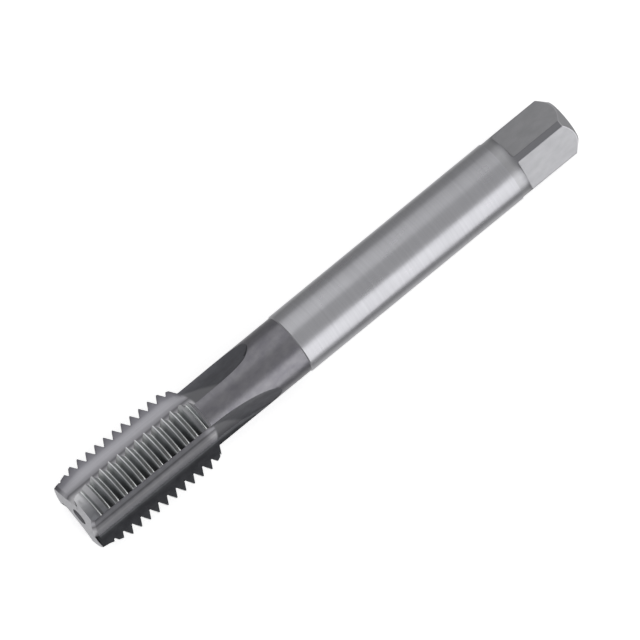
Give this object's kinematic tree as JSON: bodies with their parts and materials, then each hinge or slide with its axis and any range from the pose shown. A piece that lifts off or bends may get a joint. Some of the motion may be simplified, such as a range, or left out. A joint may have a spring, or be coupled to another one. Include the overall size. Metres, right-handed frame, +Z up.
{
  "type": "machine tap",
  "caption": "Right-hand M16 x 2 machine tap, one piece: straight-fluted lead and thread, thin neck, round shank and a drive square with centred ends.",
  "frame": {"origin": "on the surface that the tool lies on, below the middle of its length", "axes": "+X along the tool axis from the tip to the drive end, +Z up; the tool lies with one flute straight down"},
  "size_m": [0.11, 0.0162, 0.0148],
  "materials": {
    "tool_steel": "satin ground high-speed steel, with a darker tempered finish on the thread, flutes and neck"
  },
  "bodies": {
    "root": {"tap": "tool_steel"}
  },
  "joints": []
}
